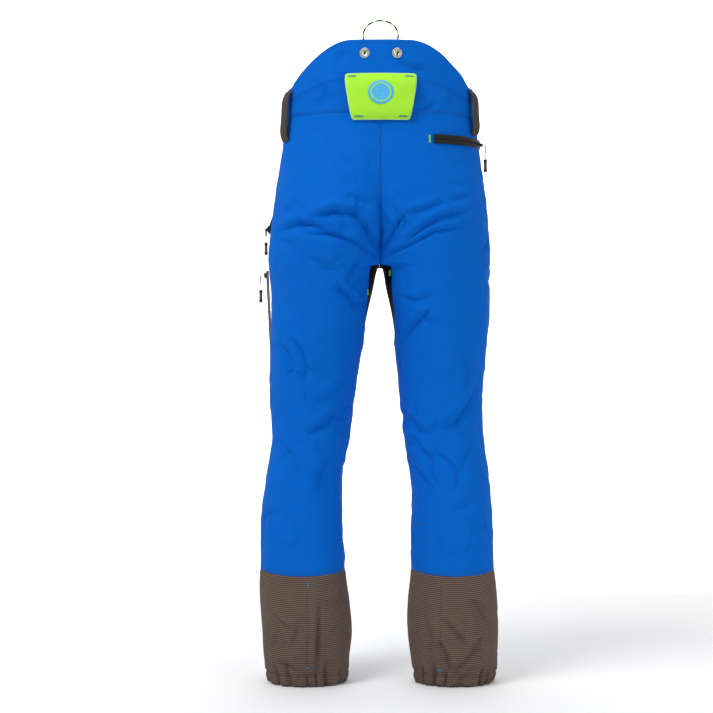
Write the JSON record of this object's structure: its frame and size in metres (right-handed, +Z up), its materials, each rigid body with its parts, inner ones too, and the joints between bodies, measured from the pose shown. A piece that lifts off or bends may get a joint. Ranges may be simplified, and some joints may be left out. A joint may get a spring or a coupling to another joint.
{
  "type": "chainsaw protective trousers",
  "caption": "Chainsaw protective trousers with a raised back, ribbed gaiters with elastic hems, layered saw pads, zipped pockets, belt loops and a hanging cord.",
  "frame": {"origin": "centre of the waist opening, at the height of the waist seam", "axes": "+Z up along the legs to the waist, +Y towards the wearer's front, +X towards the wearer's right"},
  "size_m": [0.4579, 0.2546, 1.2442],
  "materials": {
    "shell_cloth": "matte woven stretch cloth, bright blue",
    "gaiter_cloth": "coarse ribbed abrasion cloth, brown",
    "gusset_cloth": "black stretch knit",
    "patch_cloth": "bright lime coated cloth",
    "webbing": "ribbed dark webbing",
    "padding": "loose long-fibre protective layers",
    "pocket_lining": "dark mesh",
    "zip_tape": "glossy coated zip tape",
    "zip_metal": "black lacquered metal",
    "grip_plastic": "matte moulded grip",
    "snap_metal": "bright plated metal",
    "cord": "black cord with lime flecks",
    "elastic": "gathered woven elastic"
  },
  "bodies": {
    "root": {"back_belt_patch": "patch_cloth", "back_yoke": "shell_cloth", "crotch_gusset": "gusset_cloth", "fly_zip_tape": "zip_tape", "hang_cord": "cord", "hip_pocket_bag": "pocket_lining", "hip_zip_tape": "zip_tape", "left_back_knee_panel": "shell_cloth", "left_back_thigh_panel": "shell_cloth", "left_belt_loop": "webbing", "left_cord_knot": "cord", "left_eyelet": "snap_metal", "left_front_knee_panel": "shell_cloth", "left_front_thigh_panel": "shell_cloth", "left_hand_pocket_bag": "pocket_lining", "left_hand_zip_tape": "zip_tape", "left_knee_saw_pad": "padding", "left_thigh_saw_pad": "padding", "left_waistband": "shell_cloth", "right_back_knee_panel": "shell_cloth", "right_back_thigh_panel": "shell_cloth", "right_belt_loop": "webbing", "right_cord_knot": "cord", "right_eyelet": "snap_metal", "right_front_knee_panel": "shell_cloth", "right_front_thigh_panel": "shell_cloth", "right_hand_pocket_bag": "pocket_lining", "right_hand_zip_tape": "zip_tape", "right_knee_saw_pad": "padding", "right_thigh_saw_pad": "padding", "right_waistband": "shell_cloth", "stud_socket": "snap_metal", "thigh_pocket_bag": "pocket_lining", "thigh_zip_tape": "zip_tape"},
    "left_shin": {"left_calf_panel": "shell_cloth", "left_shin_panel": "shell_cloth", "left_shin_saw_pad": "padding", "left_gaiter": "gaiter_cloth", "left_cuff_elastic": "elastic"},
    "right_shin": {"right_calf_panel": "shell_cloth", "right_shin_panel": "shell_cloth", "right_shin_saw_pad": "padding", "right_gaiter": "gaiter_cloth", "right_cuff_elastic": "elastic"},
    "hip_slider": {"hip_zip_slider": "zip_metal"},
    "hip_puller": {"hip_zip_puller": "zip_metal"},
    "hip_grip": {"hip_zip_grip": "grip_plastic"},
    "left_hand_slider": {"left_hand_zip_slider": "zip_metal"},
    "left_hand_puller": {"left_hand_zip_puller": "zip_metal"},
    "left_hand_grip": {"left_hand_zip_grip": "grip_plastic"},
    "right_hand_slider": {"right_hand_zip_slider": "zip_metal"},
    "right_hand_puller": {"right_hand_zip_puller": "zip_metal"},
    "right_hand_grip": {"right_hand_zip_grip": "grip_plastic"},
    "thigh_slider": {"thigh_zip_slider": "zip_metal"},
    "thigh_puller": {"thigh_zip_puller": "zip_metal"},
    "thigh_grip": {"thigh_zip_grip": "grip_plastic"},
    "fly_slider": {"fly_zip_slider": "zip_metal"},
    "fly_puller": {"fly_zip_puller": "zip_metal"},
    "tab": {"waist_tab": "shell_cloth", "stud_cap": "snap_metal"}
  },
  "joints": [
    {"name": "left_knee", "type": "hinge", "parent": "root", "child": "left_shin", "pos_m": [-0.139, 0.0095, -0.628], "axis": [-1, 0, 0], "range_deg": [0, 90], "deforming": ["left_back_knee_panel", "left_front_knee_panel", "left_knee_saw_pad"]},
    {"name": "right_knee", "type": "hinge", "parent": "root", "child": "right_shin", "pos_m": [0.126, 0.0095, -0.628], "axis": [-1, 0, 0], "range_deg": [0, 90], "deforming": ["right_back_knee_panel", "right_front_knee_panel", "right_knee_saw_pad"]},
    {"name": "hip_zip_travel", "type": "hinge", "parent": "root", "child": "hip_slider", "pos_m": [0.06538, 0.01887, -0.049], "axis": [0, 0, 1], "range_deg": [-55.01, 0]},
    {"name": "hip_puller_swing", "type": "hinge", "parent": "hip_slider", "child": "hip_puller", "pos_m": [0.19974, -0.01946, -0.049], "axis": [-0.2743, -0.9616, 0], "range_deg": [0, 90]},
    {"name": "hip_grip_swing", "type": "hinge", "parent": "hip_puller", "child": "hip_grip", "pos_m": [0.20041, -0.01965, -0.0668], "axis": [-0.2743, -0.9616, 0], "range_deg": [0, 60]},
    {"name": "left_hand_zip_travel", "type": "slide", "parent": "root", "child": "left_hand_slider", "axis": [0.2872, 0.2198, 0.9323], "range_m": [0, 0.1623]},
    {"name": "left_hand_puller_swing", "type": "hinge", "parent": "left_hand_slider", "child": "left_hand_puller", "pos_m": [-0.21977, 0.03379, -0.20348], "axis": [0.4668, 0.8844, 0], "range_deg": [0, 90]},
    {"name": "left_hand_grip_swing", "type": "hinge", "parent": "left_hand_puller", "child": "left_hand_grip", "pos_m": [-0.22039, 0.03412, -0.22128], "axis": [0.4668, 0.8844, 0], "range_deg": [0, 60]},
    {"name": "right_hand_zip_travel", "type": "slide", "parent": "root", "child": "right_hand_slider", "axis": [-0.295, 0.1359, 0.9458], "range_m": [0, 0.16]},
    {"name": "right_hand_puller_swing", "type": "hinge", "parent": "right_hand_slider", "child": "right_hand_puller", "pos_m": [0.20683, 0.06183, -0.20351], "axis": [0.6072, -0.7946, 0], "range_deg": [0, 90]},
    {"name": "right_hand_grip_swing", "type": "hinge", "parent": "right_hand_puller", "child": "right_hand_grip", "pos_m": [0.20738, 0.06226, -0.22131], "axis": [0.6072, -0.7946, 0], "range_deg": [0, 60]},
    {"name": "thigh_zip_travel", "type": "slide", "parent": "root", "child": "thigh_slider", "axis": [-0.042, -0.123, 0.9915], "range_m": [-0.1544, 0]},
    {"name": "thigh_puller_swing", "type": "hinge", "parent": "thigh_slider", "child": "thigh_puller", "pos_m": [-0.22882, 0.01832, -0.2959], "axis": [0.2392, 0.971, 0], "range_deg": [0, 90]},
    {"name": "thigh_grip_swing", "type": "hinge", "parent": "thigh_puller", "child": "thigh_grip", "pos_m": [-0.2295, 0.01849, -0.3137], "axis": [0.2392, 0.971, 0], "range_deg": [0, 60]},
    {"name": "fly_zip_travel", "type": "hinge", "parent": "root", "child": "fly_slider", "pos_m": [0, -0.4007, -0.0656], "axis": [1, 0, 0], "range_deg": [-14.75, 0]},
    {"name": "fly_puller_swing", "type": "hinge", "parent": "fly_slider", "child": "fly_puller", "pos_m": [0, 0.12367, -0.01465], "axis": [1, 0, 0], "range_deg": [0, 90]},
    {"name": "waist_tab_swing", "type": "hinge", "parent": "root", "child": "tab", "pos_m": [-0.02469, 0.11186, 0.024], "axis": [0, 0, 1], "range_deg": [0, 110]}
  ]
}
